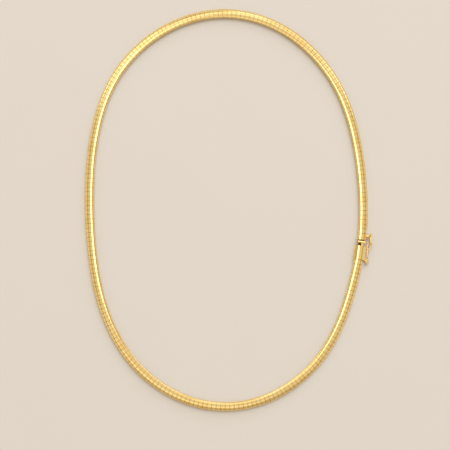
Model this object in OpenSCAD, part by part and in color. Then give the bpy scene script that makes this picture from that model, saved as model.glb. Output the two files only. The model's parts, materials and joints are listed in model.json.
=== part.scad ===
// Omega necklace: domed plates threaded side by side on a flat woven band,
// closed by a box clasp with a wire safety. It lies flat, with its back at z = 0.

/* [Necklace] */
// Length round the whole closed loop, clasp included
loop_len = 450; // [400:5:520]

/* [Plates] */
// Width of a plate across the necklace
plate_w = 3.7; // [3.5:0.1:4]
// Radius of the domed face
dome_r = 2.6; // [2.5:0.1:3]
// Radius of the rolled long edges
edge_r = 0.5; // [0.45:0.05:0.6]
// Thickness of the sheet that the plates are bent from
plate_wall = 0.3; // [0.25:0.05:0.35]
// Distance from one plate to the next, rounded so that whole plates fill the loop
plate_pitch = 1.9; // [1.8:0.05:2.2]
// Gap between two plates on the middle line
plate_gap = 0.2; // [0.2:0.02:0.3]
// Width of the slot at the back between the two folded edges
back_slot = 1.7; // [1.2:0.1:2]

/* [Woven band] */
// Width of the woven band inside the plates
core_w = 2.2; // [1.8:0.1:2.3]
// Thickness of the woven band
core_t = 0.4; // [0.3:0.05:0.4]
// Gap between the folded edges and the band
core_clear = 0.1; // [0.05:0.01:0.12]
// How far the band reaches into the end cap and into the back of the box
core_in = 0.9; // [0.5:0.1:1.2]

/* [Clasp box] */
// Length of the box along the necklace
box_len = 5.9; // [5.6:0.1:8]
// Width of the box across its straight sides
box_w = 4.4; // [4.2:0.1:4.5]
// Height of the box at the crown of its dome
box_h = 2.1; // [2.05:0.05:2.4]
// Width of the sloping ledge on each side of the dome
box_ledge = 0.65; // [0.5:0.05:0.7]
// How far the ledge falls from the dome to the straight side
ledge_drop = 0.25; // [0.1:0.05:0.4]
// Wall thickness of the box
box_wall = 0.35; // [0.3:0.05:0.4]
// Thickness of the back of the box, which holds the end of the band
box_back = 1.2; // [1:0.1:1.5]

/* [Tongue end] */
// Length of the end cap
cap_len = 2.6; // [2.5:0.1:4]
// Height of the end cap at the crown of its dome
cap_h = 1.8; // [1.75:0.05:2]
// Wall thickness of the end cap
cap_wall = 0.3; // [0.25:0.05:0.4]
// Distance from the front of the box to the end cap
cap_reach = 2.5; // [2.4:0.1:3.5]
// Thickness of the tongue's two leaves
leaf_t = 0.28; // [0.2:0.02:0.3]
// Width of the tongue
leaf_w = 2; // [1.6:0.1:2.1]
// How far the tongue reaches into the box
leaf_in = 4.2; // [3:0.1:4.4]
// Distance between the two leaves, from underside to underside
leaf_rise = 0.65; // [0.6:0.01:0.68]
// Width of the strip that joins the upper leaf to the thumb bar
stem_w = 1; // [0.8:0.1:1.2]
// Distance from the middle line to the middle of that strip, on the side of the safety
stem_out = 0.5; // [0:0.1:0.5]
// Gap round the tongue in the box
leaf_clear = 0.08; // [0.05:0.01:0.1]
// Length of the thumb bar along the necklace
thumb_len = 1.05; // [0.9:0.05:1.2]
// Width of the thumb bar
thumb_w = 3.3; // [2.8:0.1:3.5]
// Height of the top of the thumb bar above the back
thumb_h = 2.05; // [1.9:0.05:2.3]
// Radius of the thumb bar's rounded top
thumb_r = 0.63; // [0.6:0.01:0.8]
// Distance from the front of the box to the thumb bar
thumb_off = 1.05; // [0.9:0.05:1.1]

/* [Ball post] */
// Diameter of the post beside the end cap
post_d = 1.2; // [1:0.05:1.3]
// Distance from the middle line to the end of the post
post_out = 2.95; // [2.7:0.05:3.1]
// Diameter of the neck behind the ball
neck_d = 0.5; // [0.4:0.05:0.6]
// Distance from the middle line to the middle of the ball
ball_out = 4.05; // [3.9:0.05:4.2]
// Diameter of the ball
ball_d = 0.85; // [0.7:0.05:0.9]
// Distance from the front of the box to the post
post_reach = 4.35; // [4.1:0.05:4.4]
// Height of the post and of the safety's wires above the back
wire_z = 1.08; // [1.08:0.01:1.12]

/* [Safety latch] */
// Diameter of the wire
wire_d = 0.5; // [0.4:0.05:0.5]
// Inner height of the long loop that passes over the ball
loop_open = 1.1; // [1.05:0.01:1.12]
// Length of the long loop
loop_l = 4.6; // [4.4:0.1:5]
// Turn of the long loop towards the neck
loop_turn = 9; // [6:1:10]
// Distance from the front of the box to the knot between the two loops
knot_reach = 1; // [0.8:0.05:1.1]
// Distance from the middle line to the knot
knot_out = 4.15; // [4:0.05:4.3]
// Diameter of the knot
knot_d = 0.8; // [0.6:0.05:0.9]
// Distance from the middle line to the inner corner of the finger loop
corner_out = 2.65; // [2.6:0.05:2.8]
// Distance from the front of the box back to the waist where the wires meet
waist_back = 2.9; // [2.4:0.1:3.4]
// Distance from the middle line to the waist
waist_out = 3.15; // [2.9:0.05:3.4]
// Distance from the middle line to the hinge pin
hinge_out = 3.5; // [3.3:0.05:3.7]
// Distance from the back of the box to the hinge pin
hinge_back = 0.3; // [0.2:0.05:0.5]
// Diameter of the hinge pin
pin_d = 0.6; // [0.5:0.05:0.7]
// Gap round the hinge pin inside the eye
pin_clear = 0.08; // [0.05:0.01:0.1]
// Wall of the eye round the pin
eye_wall = 0.45; // [0.35:0.05:0.5]
// Height of the eye
eye_h = 0.6; // [0.5:0.05:0.7]
// Gap above and below the eye
eye_gap = 0.08; // [0.05:0.01:0.1]
// Thickness of the ear that carries the pin
ear_t = 0.45; // [0.35:0.05:0.5]
// Length of the ear's root along the side of the box
ear_root = 1.9; // [1.5:0.1:2.2]
// Diameter of the pin's rivet head
head_d = 0.95; // [0.9:0.05:1.1]
// Thickness of the rivet head
head_t = 0.15; // [0.1:0.05:0.2]

/* [Hidden] */
$fn = 64;
// Overrun of a cut, so that no skin is left over it
over = 0.5;

// Middle line of the necklace as it lies: points chosen along it in millimetres, from the
// front of the clasp box up the right side, over the top, down the left side and back.
ROUTE = [
  [57.5, -14.5],
  [58, 9.5],
  [54.5, 33.5],
  [45.5, 56],
  [26.5, 75.5],
  [0, 83.5],
  [-26.5, 76],
  [-46, 57.5],
  [-55, 33],
  [-57.5, 7],
  [-56, -20.5],
  [-50.5, -44.5],
  [-37, -67],
  [-13.5, -81.5],
  [13.5, -81.5],
  [36.5, -67],
  [50, -44.5]
];

// An entry of a closed list, counted round and round
function at(list, i) = list[(i + len(list)) % len(list)];
// Control points moved out by a sixth of the bend, so that the curve meets the chosen points
control = [for (i = [0 : len(ROUTE) - 1])
  at(ROUTE, i) + (2 * at(ROUTE, i) - at(ROUTE, i - 1) - at(ROUTE, i + 1)) / 6];
// The smooth closed curve, with t counting the chosen points
function blend(a, b, c, d, f) =
  (pow(1 - f, 3) * a + (3 * pow(f, 3) - 6 * f * f + 4) * b
    + (3 * f * f - 3 * pow(f, 3) + 3 * f + 1) * c + pow(f, 3) * d) / 6;
function curve(i, f) =
  blend(at(control, i - 1), at(control, i), at(control, i + 1), at(control, i + 2), f);
// Short straight steps along the curve, and the distance gone at each of them
steps = 24;
trace = [for (i = [0 : len(ROUTE) * steps]) curve(floor(i / steps), (i % steps) / steps)];
gone = [for (i = 0, s = 0; i < len(trace); i = i + 1, s = s + (i < len(trace) ?
  norm(trace[i] - trace[i - 1]) : 0)) s];
// The chosen shape is drawn at the size that gives the named length
route_k = loop_len / gone[len(gone) - 1];
// Last step that starts before a distance s along the loop
function step_at(s, low, high) =
  high - low < 2 ? low :
  let (middle = floor((low + high) / 2))
  gone[middle] * route_k > s ? step_at(s, low, middle) : step_at(s, middle, high);
function loop_point(s) =
  let (i = step_at(s, 0, len(gone) - 1))
  let (f = (s / route_k - gone[i]) / (gone[i + 1] - gone[i]))
  route_k * (trace[i] + f * (trace[i + 1] - trace[i]));

// The clasp lies straight between the ends of the plates; its box front starts the loop
clasp_tail = loop_point(loop_len - box_len);
clasp_head = loop_point(cap_reach + cap_len);
clasp_dir = (clasp_head - clasp_tail) / norm(clasp_head - clasp_tail);
clasp_at = clasp_tail + box_len * clasp_dir;
function on_clasp(out, reach) =
  clasp_at + out * [clasp_dir[1], -clasp_dir[0]] + reach * clasp_dir;
// Middle of the whole outline, which stands over the origin
trace_x = [for (p = trace) p[0] * route_k];
trace_y = [for (p = trace) p[1] * route_k];
right = max(max(trace_x) + plate_w / 2, on_clasp(knot_out, knot_reach)[0] + knot_d / 2,
  on_clasp(ball_out, post_reach)[0] + ball_d / 2);
middle = [
  (min(trace_x) - plate_w / 2 + right) / 2,
  (min(trace_y) + max(trace_y)) / 2
];

// Section of a plate: the dome and the rolled edges touch smoothly
edge_x = plate_w / 2 - edge_r;
dome_rise = dome_r - sqrt(pow(dome_r - edge_r, 2) - edge_x * edge_x);
plate_h = edge_r + dome_rise;
// Plates along the loop, between the end cap and the back of the box
run_start = cap_reach + cap_len + plate_gap;
run_end = loop_len - box_len;
plate_count = round((run_end - run_start) / plate_pitch);
pitch = (run_end - run_start) / plate_count;
upper_count = ceil(plate_count / 2);
core_z = plate_wall + core_clear;

// Heights inside the box
box_dome_z = box_h - dome_r;
ledge_x = box_w / 2 - box_ledge;
ledge_z = box_dome_z + sqrt(dome_r * dome_r - ledge_x * ledge_x);
leaf_z = box_wall + leaf_clear;
window_h = leaf_rise + leaf_z - leaf_clear - box_wall;

// The safety's hinge and its loop over the ball
hinge = [hinge_out, -box_len - hinge_back];
eye_r = pin_d / 2 + pin_clear + eye_wall;
eye_z = wire_z - eye_h / 2;
ear_z = eye_z - eye_gap - ear_t;
loop_r = (loop_open + wire_d) / 2;
knot = [knot_out, knot_reach];
waist = [waist_out, -waist_back];
corner = [corner_out, knot_reach];

module metal() { color([0.93, 0.75, 0.42]) children(); }
module pale_metal() { color([0.98, 0.86, 0.58]) children(); }

// Turns a section, drawn across and up, to run along the necklace from one reach to another
module along(from, to) {
  translate([0, to, 0])
    rotate([90, 0, 0])
      linear_extrude(to - from)
        children();
}

// Stands a piece of the clasp at its place on the loop
module at_clasp() {
  translate(clasp_at - middle)
    rotate(atan2(clasp_dir[1], clasp_dir[0]) - 90)
      children();
}

// Section with a domed face, rolled edges and a flat back, shrunk by inset on every side
module domed_section(height, inset) {
  shoulder = height - dome_rise;
  intersection() {
    translate([0, height - dome_r])
      circle(dome_r - inset);
    polygon([
      [-edge_x, shoulder],
      [edge_x, shoulder],
      [edge_x * 2, 2 * shoulder - height + dome_r],
      [-edge_x * 2, 2 * shoulder - height + dome_r]
    ]);
  }
  for (side = [-1, 1], z = [edge_r, shoulder])
    translate([side * edge_x, z])
      circle(edge_r - inset);
  translate([-edge_x, inset])
    square([2 * edge_x, shoulder - inset]);
  if (shoulder > edge_r)
    translate([inset - plate_w / 2, edge_r])
      square([plate_w - 2 * inset, shoulder - edge_r]);
}

module plate_section() {
  difference() {
    domed_section(plate_h, 0);
    domed_section(plate_h, plate_wall);
    translate([-back_slot / 2, -over])
      square([back_slot, over + edge_r]);
  }
}

// A run of plates, each laid straight between two points of the loop
module plates(first, last) {
  for (i = [first : last]) {
    a = loop_point(run_start + i * pitch);
    b = loop_point(run_start + (i + 1) * pitch - plate_gap);
    translate((a + b) / 2 - middle)
      rotate(atan2(b[1] - a[1], b[0] - a[0]) - 90)
        along(-(pitch - plate_gap) / 2, (pitch - plate_gap) / 2)
          plate_section();
  }
}

module upper_plates() {
  metal()
    plates(0, upper_count - 1);
}

module lower_plates() {
  metal()
    plates(upper_count, plate_count - 1);
}

// The woven band, flat and as wide as named, with a bend at every second plate
module core_band() {
  start = cap_reach + cap_len - core_in;
  end = run_end + core_in;
  bends = round(plate_count / 2);
  line = [for (i = [0 : bends]) loop_point(start + (end - start) * i / bends) - middle];
  side = [for (i = [0 : bends])
    let (d = line[min(i + 1, bends)] - line[max(i - 1, 0)])
    core_w / 2 * [d[1], -d[0]] / norm(d)];
  pale_metal()
    translate([0, 0, core_z])
      linear_extrude(core_t)
        polygon(concat(line + side, [for (i = [bends : -1 : 0]) line[i] - side[i]]));
}

// The folded spring with its thumb bar, as a side view carried across the necklace
module tongue() {
  fold_r = (leaf_rise + leaf_t) / 2;
  fold_at = fold_r - leaf_in;
  across(leaf_w) {
    translate([fold_at, leaf_z])
      square([cap_reach - fold_at + cap_wall, leaf_t]);
    translate([fold_at, leaf_z + leaf_rise])
      square([-box_wall - leaf_clear - fold_at, leaf_t]);
    difference() {
      translate([fold_at, leaf_z + fold_r])
        circle(fold_r);
      translate([fold_at, leaf_z + fold_r])
        circle(fold_r - leaf_t);
      translate([fold_at, 0])
        square(box_h);
    }
  }
  across(stem_w, stem_out)
    translate([-box_wall - leaf_clear - leaf_t, leaf_z + leaf_rise])
      square([box_wall + leaf_clear + leaf_t + thumb_off + leaf_t, leaf_t]);
  across(thumb_w)
    intersection() {
      translate([thumb_off, leaf_z + leaf_rise])
        square([thumb_len, box_h]);
      translate([thumb_off + thumb_len / 2, thumb_h - thumb_r])
        circle(thumb_r);
    }
}

// Carries a side view, drawn along and up, across the necklace
module across(width, out = 0) {
  translate([out - width / 2, 0, 0])
    rotate([90, 0, 90])
      linear_extrude(width)
        children();
}

module post() {
  translate([0, post_reach, wire_z])
    rotate([0, 90, 0]) {
      cylinder(d = post_d, h = post_out);
      cylinder(d = neck_d, h = ball_out);
      translate([0, 0, ball_out])
        sphere(d = ball_d);
    }
}

module tongue_end() {
  metal()
    at_clasp() {
      difference() {
        union() {
          along(cap_reach, cap_reach + cap_len)
            domed_section(cap_h, 0);
          post();
        }
        along(cap_reach + cap_wall, cap_reach + cap_len + over)
          domed_section(cap_h, cap_wall);
      }
      tongue();
    }
}

// Section of the box: a dome between two sloping ledges, over straight sides
module box_section(inset) {
  intersection() {
    translate([0, box_dome_z])
      circle(dome_r - inset);
    translate([-ledge_x, inset])
      square([2 * ledge_x, box_h]);
  }
  polygon([
    [inset - box_w / 2, inset],
    [box_w / 2 - inset, inset],
    [box_w / 2 - inset, ledge_z - ledge_drop - inset],
    [ledge_x, ledge_z - inset],
    [-ledge_x, ledge_z - inset],
    [inset - box_w / 2, ledge_z - ledge_drop - inset]
  ]);
}

// The ear beside the back of the box, with the riveted pin that the eye turns on
module ear() {
  translate([0, 0, ear_z])
    linear_extrude(ear_t) {
      translate(hinge)
        circle(head_d / 2);
      polygon([
        [box_w / 2 - box_wall, -box_len],
        hinge - [0, head_d / 2],
        hinge + [0, head_d / 2],
        [box_w / 2 - box_wall, -box_len + ear_root]
      ]);
    }
  translate([hinge[0], hinge[1], ear_z])
    cylinder(d = pin_d, h = eye_z + eye_h + eye_gap - ear_z + head_t);
  translate([hinge[0], hinge[1], eye_z + eye_h + eye_gap])
    cylinder(d = head_d, h = head_t);
}

module clasp_box() {
  metal()
    at_clasp() {
      difference() {
        along(-box_len, 0)
          box_section(0);
        along(-box_len + box_back, -box_wall)
          box_section(box_wall);
        translate([-leaf_w / 2 - leaf_clear, -box_wall - over, box_wall])
          cube([leaf_w + 2 * leaf_clear, box_wall + 2 * over, window_h]);
        translate([stem_out - stem_w / 2 - leaf_clear, -box_wall - over, box_wall])
          cube([stem_w + 2 * leaf_clear, box_wall + 2 * over, box_h]);
        translate([-core_w / 2 - core_clear, -box_len - over, core_z - core_clear])
          cube([core_w + 2 * core_clear, core_in + core_clear + over, core_t + 2 * core_clear]);
      }
      ear();
    }
}

// Straight wire between two places of the clasp, with round ends
module wire(a, b) {
  d = b - a;
  for (end = [a, b])
    translate([end[0], end[1], wire_z])
      sphere(d = wire_d);
  translate([a[0], a[1], wire_z])
    rotate([0, 90, atan2(d[1], d[0])])
      cylinder(d = wire_d, h = norm(d));
}

// The long loop stands on edge, from the knot to past the ball
module long_loop() {
  translate([knot[0], knot[1], wire_z])
    rotate([90, 0, 90 + loop_turn])
      for (end = [0, 1]) {
        translate([end == 0 ? loop_r : loop_l - loop_r - wire_d / 2, 0, 0])
          rotate(90 + end * 180)
            rotate_extrude(angle = 180)
              translate([loop_r, 0])
                circle(d = wire_d);
        translate([loop_r, loop_r - 2 * loop_r * end, 0])
          rotate([0, 90, 0])
            cylinder(d = wire_d, h = loop_l - 2 * loop_r - wire_d / 2);
      }
}

module safety_latch() {
  toward = (waist - hinge) / norm(waist - hinge);
  pale_metal()
    at_clasp()
      difference() {
        union() {
          translate([hinge[0], hinge[1], eye_z])
            cylinder(r = eye_r, h = eye_h);
          wire(hinge + toward * (eye_r - eye_wall / 2), waist);
          wire(waist, corner);
          wire(corner, knot);
          wire(knot, waist);
          translate([knot[0], knot[1], wire_z])
            sphere(d = knot_d);
          long_loop();
        }
        translate([hinge[0], hinge[1], eye_z - over])
          cylinder(d = pin_d + 2 * pin_clear, h = eye_h + 2 * over);
      }
}

upper_plates();
lower_plates();
core_band();
tongue_end();
clasp_box();
safety_latch();
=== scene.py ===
"""Looks of an omega necklace: polished gold plates threaded on a woven band, with a box clasp."""

import json
import math

import bmesh
import bpy
import numpy as np
from mathutils import Matrix, Vector


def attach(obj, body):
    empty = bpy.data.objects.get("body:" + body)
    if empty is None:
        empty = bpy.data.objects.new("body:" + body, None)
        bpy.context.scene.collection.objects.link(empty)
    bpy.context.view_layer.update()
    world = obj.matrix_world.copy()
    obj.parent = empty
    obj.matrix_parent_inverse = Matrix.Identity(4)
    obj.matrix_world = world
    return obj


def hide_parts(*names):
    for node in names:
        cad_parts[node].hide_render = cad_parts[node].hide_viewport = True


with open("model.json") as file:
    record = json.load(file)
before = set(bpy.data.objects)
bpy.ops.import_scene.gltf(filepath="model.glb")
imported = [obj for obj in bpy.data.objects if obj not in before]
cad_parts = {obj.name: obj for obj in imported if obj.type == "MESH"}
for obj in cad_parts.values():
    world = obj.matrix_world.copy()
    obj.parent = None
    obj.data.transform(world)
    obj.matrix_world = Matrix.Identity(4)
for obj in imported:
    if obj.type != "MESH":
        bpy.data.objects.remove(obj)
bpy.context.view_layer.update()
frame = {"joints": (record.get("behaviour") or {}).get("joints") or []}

MM = 0.001

# Sizes of the necklace, as in the part's source
LOOP_LEN = 450 * MM
PLATE_W = 3.7 * MM
DOME_R = 2.6 * MM
EDGE_R = 0.5 * MM
PLATE_WALL = 0.3 * MM
PLATE_PITCH = 1.9 * MM
PLATE_GAP = 0.2 * MM
BACK_SLOT = 1.7 * MM
CORE_W = 2.2 * MM
CORE_T = 0.4 * MM
CORE_CLEAR = 0.1 * MM
CORE_IN = 0.9 * MM
BOX_LEN = 5.9 * MM
CAP_REACH = 2.5 * MM
CAP_LEN = 2.6 * MM

# Sizes of the box: the dome between two sloping ledges, its openings and its wall. The ledges
# drop 0.08 mm more than in the source, so that they don't mirror the lamps.
BOX_W = 4.4 * MM
BOX_H = 2.1 * MM
BOX_WALL = 0.35 * MM
BOX_BACK = 1.2 * MM
BOX_LEDGE = 0.65 * MM
LEDGE_X = BOX_W / 2 - BOX_LEDGE
LEDGE_DROP = 0.33 * MM

# Sizes of the end cap, its folded spring, thumb bar and ball post
CAP_H = 1.8 * MM
CAP_WALL = 0.3 * MM
LEAF_W = 2 * MM
LEAF_T = 0.28 * MM
LEAF_RISE = 0.65 * MM
LEAF_IN = 4.2 * MM
LEAF_CLEAR = 0.08 * MM
LEAF_Z = BOX_WALL + LEAF_CLEAR
STEM_W = 1 * MM
STEM_OUT = 0.5 * MM
WINDOW_X = LEAF_W / 2 + LEAF_CLEAR
WINDOW_Z = (BOX_WALL, BOX_WALL + LEAF_RISE)
NOTCH_X = (STEM_OUT - STEM_W / 2 - LEAF_CLEAR, STEM_OUT + STEM_W / 2 + LEAF_CLEAR)
THUMB_AT = 1.05 * MM
THUMB_LEN = 1.05 * MM
THUMB_W = 3.3 * MM
THUMB_TOP = 2.05 * MM
THUMB_R = 0.63 * MM
POST_AT = 4.35 * MM
POST_ROOT = 1.2 * MM
POST_D = 1.2 * MM
POST_OUT = 2.95 * MM
NECK_D = 0.5 * MM
BALL_OUT = 4.05 * MM
BALL_D = 0.85 * MM

# Sizes of the safety latch, across from the middle line and along from the box's front
WIRE_Z = 1.08 * MM
WIRE_D = 0.5 * MM
LOOP_OPEN = 1.1 * MM
LONG_LOOP = 4.6 * MM
LOOP_TURN = math.radians(9)
KNOT = (4.15 * MM, 1.0 * MM)
KNOT_D = 0.8 * MM
CORNER = (2.65 * MM, 1.0 * MM)
BEND_REACH = 0.5 * MM
WAIST = (3.15 * MM, -2.9 * MM)
HINGE_BACK = 0.3 * MM
HINGE = (3.5 * MM, -BOX_LEN - HINGE_BACK)
PIN_D = 0.6 * MM
PIN_CLEAR = 0.08 * MM
EYE_WALL = 0.45 * MM
EYE_H = 0.6 * MM
EYE_GAP = 0.08 * MM
EYE_Z = (WIRE_Z - EYE_H / 2, WIRE_Z + EYE_H / 2)
SOLDER_D = 0.62 * MM

# Sizes of the hinge's ear and its riveted pin
EAR_T = 0.45 * MM
EAR_ROOT = 1.9 * MM
EAR_INSET = 0.02 * MM
EAR_Z = (EYE_Z[0] - EYE_GAP - EAR_T, EYE_Z[0] - EYE_GAP)
HEAD_D = 0.95 * MM
HEAD_T = 0.15 * MM
HEAD_Z = (EYE_Z[1] + EYE_GAP, EYE_Z[1] + EYE_GAP + HEAD_T)
HEAD_STEP = 0.02 * MM
PIN_FOOT = 0.05 * MM

# How far a file and a buff have rounded the edges of each piece of the clasp
SLEEVE_EASE = 0.02 * MM
FRONT_EASE = 0.04 * MM
BACK_EASE = 0.05 * MM
CAP_EASE = 0.06 * MM
STRIP_EASE = 0.04 * MM
BAR_EASE = 0.1 * MM
EAR_EASE = 0.06 * MM
POST_EASE = 0.08 * MM

# Edges that turn by more than the first angle are rounded so, and edges that turn by more than
# the second keep their faces apart in the shading
EASED_FROM = math.radians(32)
SHARP_FROM = math.radians(12)

# Angle in radians left flat at the pole of a ball, so that its faces don't meet in one point
POLE = 0.03

# Points chosen along the middle line as the necklace lies, as in the source
ROUTE = np.array([
    (57.5, -14.5), (58, 9.5), (54.5, 33.5), (45.5, 56), (26.5, 75.5), (0, 83.5),
    (-26.5, 76), (-46, 57.5), (-55, 33), (-57.5, 7), (-56, -20.5), (-50.5, -44.5),
    (-37, -67), (-13.5, -81.5), (13.5, -81.5), (36.5, -67), (50, -44.5),
]) * MM
ROUTE_STEPS = 24


def closed_curve(points, steps):
    """Closed cubic B-spline whose control points are moved out by a sixth of the bend."""
    control = points + (2 * points - np.roll(points, 1, 0) - np.roll(points, -1, 0)) / 6
    count = len(points)
    t = np.arange(count * steps + 1) / steps
    i = np.floor(t).astype(int)
    f = (t - i)[:, None]
    a, b, c, d = (control[(i + k) % count] for k in (-1, 0, 1, 2))
    return ((1 - f) ** 3 * a + (3 * f ** 3 - 6 * f ** 2 + 4) * b
            + (3 * f ** 2 - 3 * f ** 3 + 3 * f + 1) * c + f ** 3 * d) / 6


trace = closed_curve(ROUTE, ROUTE_STEPS)
gone = np.concatenate([[0], np.cumsum(np.linalg.norm(np.diff(trace, axis=0), axis=1))])
trace *= LOOP_LEN / gone[-1]
gone *= LOOP_LEN / gone[-1]


def loop_point(s):
    """Points at distances s along the middle line, read off the straight steps of the trace."""
    return np.stack([np.interp(s, gone, trace[:, 0]), np.interp(s, gone, trace[:, 1])], axis=-1)


clasp_tail = loop_point(LOOP_LEN - BOX_LEN)
clasp_head = loop_point(CAP_REACH + CAP_LEN)
clasp_dir = (clasp_head - clasp_tail) / np.linalg.norm(clasp_head - clasp_tail)
clasp_out = np.array([clasp_dir[1], -clasp_dir[0]])
clasp_at = clasp_tail + BOX_LEN * clasp_dir
EDGE_X = PLATE_W / 2 - EDGE_R
PLATE_H = EDGE_R + DOME_R - math.sqrt((DOME_R - EDGE_R) ** 2 - EDGE_X ** 2)

# The hinge of the latch tells where the frame's origin lies on the route's own plan
hinge_at = np.array(frame["joints"][0]["pos_m"][:2])
middle = clasp_at + HINGE[0] * clasp_out + HINGE[1] * clasp_dir - hinge_at


def on_clasp(points):
    """Places given as across, along and up at the clasp, turned into the frame."""
    p = np.asarray(points, float)
    flat = clasp_at - middle + p[..., :1] * clasp_out + p[..., 1:2] * clasp_dir
    return np.concatenate([flat, p[..., 2:3]], axis=-1)


def unit(v):
    """Vectors of the same directions and of length 1."""
    return v / np.linalg.norm(v, axis=-1, keepdims=True)


def arc(centre, radius, start, end, count):
    """Points at equal angles on part of a circle."""
    turn = np.linspace(start, end, count)
    return np.asarray(centre) + radius * np.stack([np.cos(turn), np.sin(turn)], 1)


def new_mesh(name, verts, faces, smooth=True):
    """Object at the origin with its place in its mesh."""
    mesh = bpy.data.meshes.new(name)
    mesh.from_pydata(np.reshape(verts, (-1, 3)).tolist(), [], np.asarray(faces).tolist())
    mesh.polygons.foreach_set("use_smooth", np.full(len(mesh.polygons), smooth))
    mesh.update()
    obj = bpy.data.objects.new(name, mesh)
    bpy.context.scene.collection.objects.link(obj)
    return obj


def closed_shell(obj):
    """Closes the open ends with flat faces and turns every face outwards."""
    bm = bmesh.new()
    bm.from_mesh(obj.data)
    ends = [e for e in bm.edges if e.is_boundary]
    bmesh.ops.holes_fill(bm, edges=ends, sides=0)
    bmesh.ops.recalc_face_normals(bm, faces=bm.faces)
    bm.to_mesh(obj.data)
    bm.free()
    return obj


def ring_faces(rings, sides, closed=False):
    """Quads of a tube of rings, each with the same number of sides. Closed, it joins its last
    ring to its first."""
    r = np.arange(rings if closed else rings - 1)[:, None]
    s = np.arange(sides)[None, :]
    up = (r + 1) % rings * sides
    return np.stack([r * sides + s, r * sides + (s + 1) % sides, up + (s + 1) % sides, up + s],
                    axis=-1).reshape(-1, 4)


# Plates

SAME_POINT = 0.01 * MM


def domed_outline(height, slot):
    """Outer line of a bent sheet from one edge of the slot in its back over the dome to the
    other, as arcs and straight runs, with the outward normal at each point."""
    tilt = math.asin(EDGE_X / (DOME_R - EDGE_R))
    shoulder = height - DOME_R + math.sqrt((DOME_R - EDGE_R) ** 2 - EDGE_X ** 2)
    flange = np.linspace(-slot / 2, -EDGE_X, 3)[:-1]
    lower = np.linspace(-math.pi / 2, -math.pi, 6)
    upper = np.linspace(-math.pi, -math.pi - (math.pi / 2 - tilt), 5)
    # Where no straight side lies between the two arcs of an edge, they share a point
    upper = upper[1:] if shoulder - EDGE_R < SAME_POINT else upper
    dome = np.linspace(math.pi / 2 + tilt, math.pi / 2, 9)[1:]
    turn = np.concatenate([np.full(2, -math.pi / 2), lower, upper, dome])
    radius = np.repeat([0, EDGE_R, DOME_R], [2, len(lower) + len(upper), len(dome)])
    centre = np.repeat([(-EDGE_X, EDGE_R), (-EDGE_X, shoulder), (0, height - DOME_R)],
                       [len(lower), len(upper), len(dome)], axis=0)
    centre = np.concatenate([np.stack([flange, np.zeros(2)], 1), centre])
    normal = np.stack([np.cos(turn), np.sin(turn)], 1)
    line = centre + radius[:, None] * normal
    return tuple(np.concatenate([half, half[-2::-1] * (-1, 1)]) for half in (line, normal))


RIM = 0.03 * MM
# The plates are drawn closer together than in the source, as the worn ones of the photograph look
SHOWN_GAP = 0.1 * MM
# The plates lean outwards on the band by what their clearance allows, as their reflections show
LEAN = math.radians(4)
# Beside the clasp they stand level, and over this length they come to lean in full
LEAN_START = 8 * MM
LOOSE_ROLL = math.radians(0.3)
LOOSE_PITCH = math.radians(0.3)

run_start = CAP_REACH + CAP_LEN + PLATE_GAP
run_end = LOOP_LEN - BOX_LEN
plate_count = round((run_end - run_start) / PLATE_PITCH)
pitch = (run_end - run_start) / plate_count
upper_count = math.ceil(plate_count / 2)


def plate_section():
    """One plate, lying along y: the outline drawn in by a rounded rim at both ends and carried
    between them, and back inside at the sheet's thickness. Rings of points, with the rims at
    the first and last rings, and one more ring close behind each rim, which keeps the dome's
    shading even."""
    line, normal = domed_outline(PLATE_H, BACK_SLOT)
    length = pitch - SHOWN_GAP
    quarter = RIM * (1 - math.cos(math.pi / 4))
    place = np.array([0, quarter, RIM, 1.7 * RIM])
    place = np.concatenate([place, length - place[::-1]]) - length / 2
    inset = np.array([RIM, quarter, 0, 0, 0, 0, quarter, RIM])[:, None, None]
    outer = line - inset * normal
    inner = (line - (PLATE_WALL - inset) * normal)[:, ::-1]
    section = np.concatenate([outer, inner], axis=1)
    y = np.broadcast_to(place[:, None], section.shape[:2])
    return np.stack([section[..., 0], y, section[..., 1]], axis=-1)


def plate_run(name, first, last, seed):
    """A run of plates, each the same section between two points of the loop. It is rolled and
    pitched on the band by small angles, as its height times the angle moved sideways and its
    distance from the middle times the angle moved up."""
    section = plate_section()
    stations, sides = section.shape[:2]
    x, y, z = np.moveaxis(section, -1, 0)[:, None]
    index = np.arange(first, last)
    count = len(index)
    a = loop_point(run_start + index * pitch)
    b = loop_point(run_start + (index + 1) * pitch - PLATE_GAP)
    along = unit(b - a)[:, None, None]
    across = along[..., ::-1] * (1, -1)

    rng = np.random.default_rng(seed)
    roll = rng.normal(0, LOOSE_ROLL / 2, count).clip(-LOOSE_ROLL, LOOSE_ROLL)
    nod = rng.normal(0, LOOSE_PITCH / 2, count).clip(-LOOSE_PITCH, LOOSE_PITCH)[:, None, None]
    at = run_start + (index + 0.5) * pitch
    from_clasp = np.minimum(at - run_start, run_end - at) / LEAN_START
    roll = (roll - LEAN * np.clip(from_clasp, 0, 1))[:, None, None]
    up = z + x * roll + y * nod + abs(roll) * EDGE_X
    side = x - (z - PLATE_H / 2) * roll
    ahead = y - (z - PLATE_H / 2) * nod
    centre = ((a + b) / 2 - middle)[:, None, None]
    flat = centre + side[..., None] * across + ahead[..., None] * along
    verts = np.concatenate([flat, up[..., None]], axis=-1)

    # The sheet's own edges, along the slot and at both ends, close the space between the rings
    n = sides // 2
    i = np.arange(n - 1)
    end = np.stack([i, i + 1, sides - 2 - i, sides - 1 - i], 1)
    one = np.concatenate([ring_faces(stations, sides), end, end + (stations - 1) * sides])
    faces = (one + (np.arange(count) * stations * sides)[:, None, None]).reshape(-1, 4)
    obj = new_mesh(name, verts, faces)
    tone = obj.data.attributes.new("plate_tone", "FLOAT", "POINT")
    tone.data.foreach_set("value", np.repeat(rng.uniform(0, 1, count), stations * sides))
    return closed_shell(obj)


# Woven band. Each strand stands for several wires, which are too thin to show.

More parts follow.
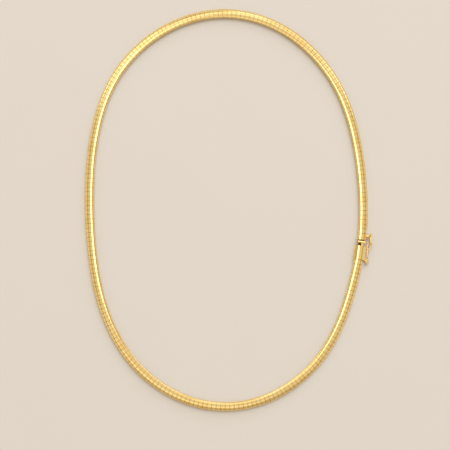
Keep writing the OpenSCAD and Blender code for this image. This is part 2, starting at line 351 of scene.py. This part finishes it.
STRANDS = 5
WEAVE_PERIOD = 4.2 * MM
STRAND_W = 0.42 * MM
STRAND_T = 0.15 * MM
WEAVE_STEP = 0.117 * MM
# How near to a sharp zigzag a strand swings, and how steeply it passes over another
SWING_SHARPNESS = 0.97
CROSSING_SLOPE = 4


def woven_band():
    """Flat braid: each strand swings across the band as a softened zigzag and rises and falls
    once at each crossing, over the strands that run one way and under the others. It has a
    four-sided section and follows the middle line of the loop."""
    start = CAP_REACH + CAP_LEN - CORE_IN
    end = run_end + CORE_IN
    count = int((end - start) / WEAVE_STEP)
    s = np.linspace(start, end, count)
    centre = loop_point(s) - middle
    across = unit(np.gradient(centre, axis=0))[:, ::-1] * (1, -1)
    strand = np.arange(STRANDS)[:, None]
    phase = 2 * math.pi * (s / WEAVE_PERIOD + strand / STRANDS)
    swing = (CORE_W - STRAND_W) / 2 * np.arcsin(SWING_SHARPNESS * np.cos(phase))
    out = swing / math.asin(SWING_SHARPNESS)
    rise = (CORE_T - STRAND_T) / 2 * np.tanh(CROSSING_SLOPE * np.sin(phase))
    up = PLATE_WALL + CORE_CLEAR + CORE_T / 2 + rise * np.cos(phase * STRANDS)
    path = np.concatenate([centre + out[..., None] * across, up[..., None]], axis=-1)
    ahead = unit(np.gradient(path, axis=1))
    wide = unit(ahead[..., [1, 0, 2]] * (1, -1, 0))
    thick = np.cross(wide, ahead)
    rings = np.stack([path + wide * STRAND_W / 2, path + thick * STRAND_T / 2,
                      path - wide * STRAND_W / 2, path - thick * STRAND_T / 2], axis=2)
    faces = (ring_faces(count, 4) + (strand * count * 4)[..., None]).reshape(-1, 4)
    return closed_shell(new_mesh("woven_band", rings, faces, smooth=False))


# Turned and bent wire pieces

def lathed(profile, sides):
    """Rings of a profile of radius and height turned round the upright axis at the origin."""
    ring = arc((0, 0), 1, 0, 2 * math.pi, sides + 1)[:-1]
    flat = profile[:, None, :1] * ring
    return np.concatenate([flat, np.broadcast_to(profile[:, None, 1:], (*flat.shape[:2], 1))], -1)


def ball(centre, diameter, rings=14, sides=24):
    """Half circle turned round its diameter, with small flat poles, about a centre."""
    profile = arc((0, 0), diameter / 2, -math.pi / 2 + POLE, math.pi / 2 - POLE, rings)
    return lathed(profile, sides) + centre, ring_faces(rings, sides)


def swept_wire(path, normal, closed=False, sides=14):
    """Round wire bent in one plane: a circle carried along the path, its spokes at equal angles
    between the plane's normal and the direction square to the normal and the path."""
    round_trip = np.roll(path, -1, 0) - np.roll(path, 1, 0)
    ahead = unit(round_trip if closed else np.gradient(path, axis=0))
    spoke = arc((0, 0), WIRE_D / 2, 0, 2 * math.pi, sides + 1)[:-1, :, None]
    rings = path[:, None] + spoke[:, 0] * np.cross(ahead, normal)[:, None] + spoke[:, 1] * normal
    return rings, ring_faces(len(path), sides, closed)


def rounded_corners(points, reach, steps=6):
    """Path through points, with each corner between cut by a curve that blends from one
    straight to the next: the square of what is left, twice the product, the square gone."""
    before, at, after = points[:-2, None], points[1:-1, None], points[2:, None]
    t = np.linspace(0, 1, steps)[:, None]
    start = at + reach * unit(before - at)
    end = at + reach * unit(after - at)
    curve = (1 - t) ** 2 * start + 2 * t * (1 - t) * at + t ** 2 * end
    return np.concatenate([points[:1], curve.reshape(-1, 3), points[-1:]])


def joined(parts):
    """Points and faces of several pieces as one array each."""
    verts = [np.reshape(points, (-1, 3)) for points, _ in parts]
    starts = np.cumsum([0] + [len(v) for v in verts[:-1]])
    return np.concatenate(verts), np.concatenate([f + k for (_, f), k in zip(parts, starts)])


# Power of a circle's coordinates that makes it a rounded square
SQUARING = 0.7


def latch_eye():
    """Eye of the safety: a rounded square section turned round the hinge pin."""
    bore_r = PIN_D / 2 + PIN_CLEAR
    circle = arc((0, 0), 1, 0, 2 * math.pi, 25)[:-1]
    across, up = (np.sign(circle) * abs(circle) ** SQUARING).T
    section = np.stack([bore_r + EYE_WALL / 2 * (1 + across), WIRE_Z + EYE_H / 2 * up], 1)
    return lathed(section, 48) + (*HINGE, 0), ring_faces(24, 48, closed=True)


def long_loop(knot):
    """Loop on edge past the ball: two half circles joined by straights, in an upright plane."""
    r = (LOOP_OPEN + WIRE_D) / 2
    far = arc((LONG_LOOP - WIRE_D / 2 - r, 0), r, math.pi / 2, -math.pi / 2, 14)
    near = arc((r, 0), r, -math.pi / 2, -3 * math.pi / 2, 14)
    along, up = np.concatenate([far, near]).T
    ahead = np.array([-math.sin(LOOP_TURN), math.cos(LOOP_TURN)])
    path = knot + np.stack([along * ahead[0], along * ahead[1], up], 1)
    return swept_wire(path, np.array([ahead[1], -ahead[0], 0]), closed=True)


def safety_latch():
    """Wire bent from the eye to the finger loop, up to the knot and round the long loop."""
    hinge, knot, corner, waist = (np.array([*p, WIRE_Z]) for p in (HINGE, KNOT, CORNER, WAIST))
    start = hinge + unit(waist - hinge) * (PIN_D / 2 + PIN_CLEAR + EYE_WALL / 2)
    flat = np.array([0, 0, 1])
    finger = rounded_corners(np.array([start, waist, corner, knot]), BEND_REACH)
    verts, faces = joined([
        latch_eye(), swept_wire(finger, flat), swept_wire(np.array([knot, waist]), flat),
        ball(waist, SOLDER_D), long_loop(knot), ball(knot, KNOT_D)])
    return closed_shell(new_mesh("wire_safety", on_clasp(verts), faces))


# Clasp pieces, each an outline carried straight between levels or turned, with eased edges

END_VIEW = [0, 2, 1]
SIDE_VIEW = [2, 0, 1]
PLAN_VIEW = [0, 1, 2]


def lifted(outline, levels, view):
    """An outline at each of several levels; the view says which of its two coordinates and the
    level go across, along and up."""
    flat = np.broadcast_to(outline, (len(levels), *np.shape(outline)))
    level = np.broadcast_to(np.reshape(levels, (-1, 1, 1)), (*flat.shape[:2], 1))
    return np.concatenate([flat, level], axis=-1)[..., view]


def eased(obj, width):
    """Rounds all edges, as a file and a buff do."""
    bevel = obj.modifiers.new("eased_edges", "BEVEL")
    bevel.width = width
    bevel.segments = 3
    bevel.limit_method = "ANGLE"
    bevel.angle_limit = EASED_FROM
    obj.data.set_sharp_from_angle(angle=SHARP_FROM)
    normals = obj.modifiers.new("flat_faces", "WEIGHTED_NORMAL")
    normals.keep_sharp = True
    return obj


def prism(name, outline, low, high, view, width):
    """Outline carried from one level to another, with closed ends."""
    rings = lifted(outline, (low, high), view)
    return eased(closed_shell(new_mesh(name, on_clasp(rings), ring_faces(2, len(outline)))), width)


def box_dome(x):
    """Height of the box's dome at a distance from the middle line."""
    return BOX_H - DOME_R + math.sqrt(DOME_R ** 2 - x ** 2)


def box_outline(wall):
    """Section of the box, drawn in by a wall: flat back, straight sides, sloping ledges and
    the dome between them."""
    turn = math.asin(LEDGE_X / DOME_R)
    dome = arc((0, BOX_H - DOME_R), DOME_R - wall, math.pi / 2 - turn, math.pi / 2 + turn, 17)
    side = BOX_W / 2 - wall
    shoulder = box_dome(LEDGE_X) - LEDGE_DROP - wall * (DOME_R - wall) / DOME_R
    return np.concatenate([[(-side, wall), (side, wall), (side, shoulder)], dome,
                           [(-side, shoulder)]])


def box_front():
    """The box's outline with the window and, off its top, the notch for the stem cut out."""
    outline = box_outline(0)
    dome = outline[3:-1]
    left, right = NOTCH_X
    low, high = WINDOW_Z
    cut = [(right, box_dome(right)), (right, low), (-WINDOW_X, low), (-WINDOW_X, high),
           (left, high), (left, box_dome(left))]
    return np.concatenate([outline[:3], dome[dome[:, 0] > right], cut,
                           dome[dome[:, 0] < left], outline[-1:]])


def box_pieces():
    """Sleeve between two outlines, and the front and back walls soldered into its ends."""
    front = -BOX_WALL
    back = -BOX_LEN + BOX_BACK
    outer = box_outline(0)
    rings = np.concatenate([lifted(outer, (back, front), END_VIEW),
                            lifted(box_outline(BOX_WALL), (front, back), END_VIEW)])
    faces = ring_faces(4, len(outer), closed=True)
    sleeve = closed_shell(new_mesh("box_sleeve", on_clasp(rings), faces))
    return (eased(sleeve, SLEEVE_EASE),
            prism("box_front", box_front(), front, 0, END_VIEW, FRONT_EASE),
            prism("box_back", outer, -BOX_LEN, back, END_VIEW, BACK_EASE))


def end_cap():
    """The plates' outline, taller and closed at its back, carried from the closed front to the
    open end, and back inside at the wall's thickness."""
    line, normal = (a[:-1] for a in domed_outline(CAP_H, 0))
    end = CAP_REACH + CAP_LEN
    rings = np.concatenate([
        lifted(line, (CAP_REACH, end), END_VIEW),
        lifted(line - CAP_WALL * normal, (end, CAP_REACH + CAP_WALL), END_VIEW)])
    return eased(closed_shell(new_mesh("end_cap", on_clasp(rings), ring_faces(4, len(line)))),
                 CAP_EASE)


def thickened(path, thickness):
    """Outline of a strip seen from its edge: the path set off to both sides by half."""
    ahead = unit(np.gradient(path, axis=0))
    off = ahead[:, ::-1] * (-1, 1) * thickness / 2
    return np.concatenate([path + off, (path - off)[::-1]])


def spring_leaf():
    """Strip folded back on itself round a half circle."""
    fold_r = LEAF_RISE / 2
    fold_at = (LEAF_RISE + LEAF_T) / 2 - LEAF_IN
    mid = LEAF_Z + LEAF_T / 2 + fold_r
    path = np.concatenate([
        [(CAP_REACH + CAP_WALL / 2, mid - fold_r)],
        arc((fold_at, mid), fold_r, -math.pi / 2, -3 * math.pi / 2, 15),
        [(-BOX_WALL - LEAF_CLEAR, mid + fold_r)],
    ])
    return prism("spring_leaf", thickened(path, LEAF_T), -LEAF_W / 2, LEAF_W / 2, SIDE_VIEW,
                 STRIP_EASE)


def thumb_stem():
    """Narrow straight strip from the upper leaf out through the notch to the thumb bar."""
    low = LEAF_Z + LEAF_RISE
    start = -BOX_WALL - LEAF_CLEAR - LEAF_T
    end = THUMB_AT + LEAF_T
    outline = [(start, low), (end, low), (end, low + LEAF_T), (start, low + LEAF_T)]
    return prism("thumb_stem", outline, STEM_OUT - STEM_W / 2, STEM_OUT + STEM_W / 2, SIDE_VIEW,
                 STRIP_EASE)


def thumb_bar():
    """Bar with a rounded top, carried across the necklace."""
    reach = math.acos(THUMB_LEN / 2 / THUMB_R)
    top = arc((THUMB_AT + THUMB_LEN / 2, THUMB_TOP - THUMB_R), THUMB_R, reach, math.pi - reach, 13)
    low = LEAF_Z + LEAF_RISE
    outline = np.concatenate([[(THUMB_AT, low), (THUMB_AT + THUMB_LEN, low)], top])
    return prism("thumb_bar", outline, -THUMB_W / 2, THUMB_W / 2, SIDE_VIEW, BAR_EASE)


def ball_post():
    """Thick post, thin neck and ball, turned round an axis that lies across the necklace."""
    r, neck, b = POST_D / 2, NECK_D / 2, BALL_D / 2
    ease = POST_EASE
    start = math.pi - math.asin(neck / b)
    height, radius = arc((BALL_OUT, 0), b, start, POLE, 16).T
    stem = [(r, POST_ROOT), (r, POST_OUT - ease), (r - 0.3 * ease, POST_OUT - 0.3 * ease),
            (r - ease, POST_OUT), (neck + ease, POST_OUT), (neck, POST_OUT + ease)]
    profile = np.concatenate([stem, np.stack([radius, height], 1)])
    rings = lathed(profile, 28)[..., [2, 0, 1]] + (0, POST_AT, WIRE_Z)
    return closed_shell(new_mesh("ball_post", on_clasp(rings), ring_faces(len(profile), 28)))


def hinge_ear():
    """Plate from the box's side to the pin, with a round end, seen from above."""
    inner = BOX_W / 2 - BOX_WALL
    root = [(inner, -BOX_LEN + EAR_ROOT), (inner, -BOX_LEN + EAR_INSET)]
    outline = np.concatenate([root, arc(HINGE, HEAD_D / 2, -math.pi / 2, math.pi / 2, 13)])
    return prism("hinge_ear", outline, *EAR_Z, PLAN_VIEW, EAR_EASE)


def hinge_pin():
    """Straight pin with its end hammered into a low round head."""
    r, head, step = PIN_D / 2, HEAD_D / 2, HEAD_STEP
    foot = EAR_Z[0] + PIN_FOOT
    low, high = HEAD_Z
    profile = np.array([
        (step, foot), (r, foot), (r, low), (head - 2 * step, low), (head, low + 2 * step),
        (head - step, high - 3 * step), (head - 5 * step, high - 0.75 * step),
        (head / 2, high), (step, high)])
    rings = lathed(profile, 32) + (*HINGE, 0)
    return closed_shell(new_mesh("hinge_pin", on_clasp(rings), ring_faces(len(profile), 32)))


# Materials

def linear(hex_colour):
    """Linear colour of an sRGB hex value."""
    c = np.array([int(hex_colour[i:i + 2], 16) for i in (1, 3, 5)]) / 255
    c = np.where(c <= 0.04045, c / 12.92, ((c + 0.055) / 1.055) ** 2.4)
    return (*c.tolist(), 1.0)


def add(material, kind, settings=None, **links):
    """Adds a node, sets its properties and inputs, and links what is given as a socket. An
    input goes by its name, with _ for each space, or by i and its number."""
    tree = material.node_tree
    node = tree.nodes.new(kind)
    for key, value in (settings or {}).items():
        setattr(node, key, value)
    for key, value in links.items():
        numbered = key[0] == "i" and key[1:].isdigit()
        socket = node.inputs[int(key[1:]) if numbered else key.replace("_", " ")]
        if isinstance(value, bpy.types.NodeSocket):
            tree.links.new(value, socket)
        else:
            socket.default_value = value
    return node


def new_material(name):
    """Material with an empty node tree."""
    material = bpy.data.materials.new(name)
    material.use_nodes = True
    material.node_tree.nodes.clear()
    return material


# Scuffs of wear on real gold are some tenths of a millimetre wide, and the marks of a buff some
# hundredths. Both are too fine to show, so they are drawn coarser: the scuffs as here, and the
# marks as each gold below gives them.
SCUFF = 1.2 * MM
TONE_PATCH = 6 * MM
# Noise at which the tone is worn and bright in full, and the share that a plate's own tone adds
WORN_AT, BRIGHT_AT = 0.3, 0.75
OWN_TONE = 0.35
# Noise at which the metal is as buffed and as scuffed as it gets, and its roughness there as
# shares of the usual one
BUFFED_AT, SCUFFED_AT = 0.35, 0.7
BUFFED, SCUFFED = 0.7, 2.0
MARK_STRENGTH = 0.25


def gold(name, colour, worn, roughness, mark, depth, tone=None):
    """Polished gold: fine buffing marks in the bump, scuffs of wear in the roughness, and a slow
    uneven tone, to which each plate may add its own."""
    m = new_material(name)
    where = add(m, "ShaderNodeTexCoord").outputs["Object"]
    fine = add(m, "ShaderNodeTexNoise", Vector=where, Scale=1 / mark, Detail=6.0, Roughness=0.6)
    scuff = add(m, "ShaderNodeTexNoise", Vector=where, Scale=1 / SCUFF, Detail=8.0,
                Roughness=0.7, Distortion=0.8)
    slow = add(m, "ShaderNodeTexNoise", Vector=where, Scale=1 / TONE_PATCH, Detail=2.0)
    blend = slow.outputs["Fac"]
    if tone:
        plate = add(m, "ShaderNodeAttribute", {"attribute_name": tone})
        own = add(m, "ShaderNodeMath", {"operation": "MULTIPLY"}, i0=plate.outputs["Fac"],
                  i1=OWN_TONE)
        blend = add(m, "ShaderNodeMath", {"operation": "ADD"}, i0=blend,
                    i1=own.outputs[0]).outputs[0]
    colours = add(m, "ShaderNodeValToRGB", Fac=blend)
    ends = colours.color_ramp.elements
    for end, position, hex_colour in zip(ends, (WORN_AT, BRIGHT_AT), (worn, colour)):
        end.position = position
        end.color = linear(hex_colour)
    rough = add(m, "ShaderNodeMapRange", Value=scuff.outputs["Fac"], From_Min=BUFFED_AT,
                From_Max=SCUFFED_AT, To_Min=roughness * BUFFED, To_Max=roughness * SCUFFED)
    bump = add(m, "ShaderNodeBump", Strength=MARK_STRENGTH, Distance=depth,
               Height=fine.outputs["Fac"])
    shader = add(m, "ShaderNodeBsdfPrincipled", Base_Color=colours.outputs["Color"], Metallic=1.0,
                 Roughness=rough.outputs[0], Normal=bump.outputs[0])
    add(m, "ShaderNodeOutputMaterial", Surface=shader.outputs[0])
    return m


PAPER_CLOUD = 30 * MM
# The fibres of real paper are some hundredths of a millimetre wide, and are drawn coarser
PAPER_TOOTH = 0.6 * MM
TOOTH_DEPTH = 0.05 * MM


def paper(name, near, far):
    """Matt studio paper: a very even tone with a faint cloud and a fine tooth."""
    m = new_material(name)
    where = add(m, "ShaderNodeTexCoord").outputs["Object"]
    cloud = add(m, "ShaderNodeTexNoise", Vector=where, Scale=1 / PAPER_CLOUD, Detail=2.0)
    tooth = add(m, "ShaderNodeTexNoise", Vector=where, Scale=1 / PAPER_TOOTH, Detail=3.0)
    tone = add(m, "ShaderNodeMix", {"data_type": "RGBA"}, Factor=cloud.outputs["Fac"],
               i6=linear(near), i7=linear(far))
    bump = add(m, "ShaderNodeBump", Strength=0.08, Distance=TOOTH_DEPTH,
               Height=tooth.outputs["Fac"])
    shader = add(m, "ShaderNodeBsdfPrincipled", Base_Color=tone.outputs[2], Roughness=0.95,
                 Specular_IOR_Level=0.1, Normal=bump.outputs[0])
    add(m, "ShaderNodeOutputMaterial", Surface=shader.outputs[0])
    return m


# Each gold: its name, bright and worn colour, roughness, and the size and depth of its marks

# 18 karat yellow gold sheet, bent and buffed: bright, warm, with soft-edged reflections
plate_gold = gold("rolled_gold_sheet", "#FFE094", "#FCD684", 0.11, 0.5 * MM, 0.002 * MM,
                  "plate_tone")
# 18 karat gold wire, woven and rolled, coloured dark as painted shade for the gaps between
# the plates, so that the joints between the plates look dark
woven_gold_painted_shade = gold("woven_gold_wire", "#B88A46", "#8C6430", 0.35, 0.3 * MM, 0.006 * MM)
# Cast and filed clasp parts, finished on a hard felt wheel: the sharpest reflections
clasp_gold = gold("buffed_gold_clasp", "#FFE094", "#FCD785", 0.08, 0.6 * MM, 0.002 * MM)
# Rolled spring strip, coloured dark brown as painted shade for the deep gaps beside the thumb bar
leaf_gold_painted_shade = gold("spring_strip_painted_shade", "#78502A", "#4C3016", 0.3, 0.4 * MM, 0.004 * MM)
# Hard-drawn gold wire, tumbled bright: sharp glints along each bend
wire_gold = gold("drawn_gold_wire", "#FFE29E", "#FDD98A", 0.1, 0.4 * MM, 0.002 * MM)
# Matt studio paper, rolled smooth: an even pale ground that mirrors nothing
floor_paper = paper("studio_paper", "#E7E1D5", "#E5DFD3")


def dressed(obj, material, body, slot, *nodes):
    """Gives a piece its material and body, and hides the nodes that it stands for. Its slot is
    not used."""
    obj.data.materials.clear()
    obj.data.materials.append(material)
    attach(obj, body)
    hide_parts(*nodes)


dressed(plate_run("domed_plates_upper", 0, upper_count, 11),
        plate_gold, "necklace", "plates", "upper_plates")
dressed(plate_run("domed_plates_lower", upper_count, plate_count, 12),
        plate_gold, "necklace", "plates", "lower_plates")
dressed(woven_band(), woven_gold_painted_shade, "necklace", "woven_band", "core_band")
dressed(spring_leaf(), leaf_gold_painted_shade, "necklace", "clasp", "tongue_end")
for piece in (end_cap(), thumb_stem(), thumb_bar(), ball_post()):
    dressed(piece, clasp_gold, "necklace", "clasp", "tongue_end")
for piece in (*box_pieces(), hinge_ear(), hinge_pin()):
    dressed(piece, clasp_gold, "necklace", "clasp", "clasp_box")
dressed(safety_latch(), wire_gold, "latch", "safety_wire", "safety_latch")


# Studio: the photograph's frame is 450 pixels wide. The loop's length and the middle of its
# route were fitted to it in those pixels.
PHOTO_PX = 450
LOOP_PX = 1074.5
PX = LOOP_LEN / LOOP_PX
ROUTE_CENTRE_PX = (225.5, 210)
CAMERA_HEIGHT = 320 * MM
SENSOR = 36 * MM
FLOOR_HALF = 6000 * MM
FLOOR_DROP = 0.02 * MM
DAYLIGHT = "#ECF2FF"
WARM_ROOM = "#FFEFDA"
ROOM_BRIGHTNESS = 0.54

# Lamps, in metres and degrees: name, place, point faced, width and length, brightness, what its
# light falls on, and the full angle of its honeycomb grid, 180 where it has none
LAMPS = [
    ("left_band_strip", (-0.0204, 0.02, 0.1), (-0.058, 0.02, 0), (0.05, 0.11), 2.7, "gold", 50),
    ("right_band_strip", (0, 0, 0.1), (0.058, 0, 0), (0.054, 0.084), 3.1, "gold", 50),
    ("back_panel", (0.1, 0.66, 0.38), (0, 0.2, 0), (0.6, 0.26), 2.9, "gold", 26),
    ("back_left_panel", (-0.45, 0.45, 0.38), (0, 0, 0), (0.5, 0.26), 1.0, "gold", 180),
    ("back_right_panel", (0.45, 0.45, 0.38), (0, 0, 0), (0.5, 0.26), 1.0, "gold", 180),
    ("top_panel", (-0.08, 0.27, 0.36), (-0.08, 0.27, 0), (0.36, 0.3), 0.6, "gold", 180),
    ("lower_left_panel", (-0.15, -0.3, 0.36), (-0.15, -0.3, 0), (0.4, 0.3), 0.35, "gold", 180),
    ("ceiling_panel", (0, 0, 0.75), (0, 0, 0), (1.2, 1.2), 0.3, "gold", 180),
    ("clasp_spot", (0.15, 0.12, 0.34), (0.057, -0.017, 0), (0.08, 0.1), 6.0, "gold", 16),
    ("window_softbox", (1.1, 3.4, 2.2), (0, 0, 0), (4.4, 3.6), 3.95, "floor", 180),
    ("side_panel", (3, 0, 0.9), (0, 0, 0), (1.5, 6), 0.33, "gold and floor", 180),
    ("side_panel", (0, 3, 0.9), (0, 0, 0), (6, 1.5), 0.33, "gold and floor", 180),
    ("side_panel", (-3, 0, 0.9), (0, 0, 0), (1.5, 6), 0.33, "gold and floor", 180),
]


def photo_point(px, py, height):
    """Place at a height over a pixel of the photograph."""
    x = (px - ROUTE_CENTRE_PX[0]) * PX - middle[0]
    y = (ROUTE_CENTRE_PX[1] - py) * PX - middle[1]
    return Vector((x, y, height))


def camera():
    """Camera that looks straight down on the middle of the photograph. At the height of the
    plates' tops its frame is as wide as the photograph."""
    data = bpy.data.cameras.new("camera")
    data.sensor_width = SENSOR / MM
    data.lens = SENSOR / MM * (CAMERA_HEIGHT - PLATE_H) / (PHOTO_PX * PX)
    obj = bpy.data.objects.new("camera", data)
    obj.location = photo_point(PHOTO_PX / 2, PHOTO_PX / 2, CAMERA_HEIGHT)
    bpy.context.scene.collection.objects.link(obj)
    bpy.context.scene.camera = obj


def softbox(name, place, aim, size, brightness, falls_on, grid):
    """Rectangular lamp with a diffuser, turned to face a point. Its power is that which makes
    its face as bright as given, where 1 is white in the picture. A honeycomb grid narrows its
    light to a full angle, and takes the same share off its power as it holds back. Screens let
    it fall on the gold alone, on the floor alone, or on both."""
    half = math.radians(grid) / 2
    data = bpy.data.lights.new(name, "AREA")
    data.shape = "RECTANGLE"
    data.size, data.size_y = size
    data.spread = 2 * half
    data.energy = brightness * math.pi * size[0] * size[1] * (1 - half / math.tan(half))
    data.color = linear(DAYLIGHT)[:3]
    obj = bpy.data.objects.new(name, data)
    obj.visible_glossy = "gold" in falls_on
    obj.visible_diffuse = "floor" in falls_on
    back = (Vector(place) - Vector(aim)).normalized()
    across = (Vector((1, 0, 0)) - back.x * back).normalized()
    obj.matrix_world = Matrix.LocRotScale(
        Vector(place), Matrix((across, back.cross(across), back)).transposed(), None)
    bpy.context.scene.collection.objects.link(obj)


def floor():
    """Square of paper that reaches far past the frame, a hair under the necklace."""
    corners = [(x * FLOOR_HALF, y * FLOOR_HALF, -FLOOR_DROP)
               for x, y in ((-1, -1), (1, -1), (1, 1), (-1, 1))]
    obj = new_mesh("floor", corners, [(0, 1, 2, 3)], smooth=False)
    obj.data.materials.append(floor_paper)


def studio():
    """Warm walls all round, and the lamps."""
    world = bpy.data.worlds.new("studio")
    world.use_nodes = True
    walls = world.node_tree.nodes["Background"].inputs
    walls["Color"].default_value = linear(WARM_ROOM)
    walls["Strength"].default_value = ROOM_BRIGHTNESS
    bpy.context.scene.world = world
    bpy.context.scene.view_settings.view_transform = "Standard"
    for lamp in LAMPS:
        softbox(*lamp)


camera()
floor()
studio()
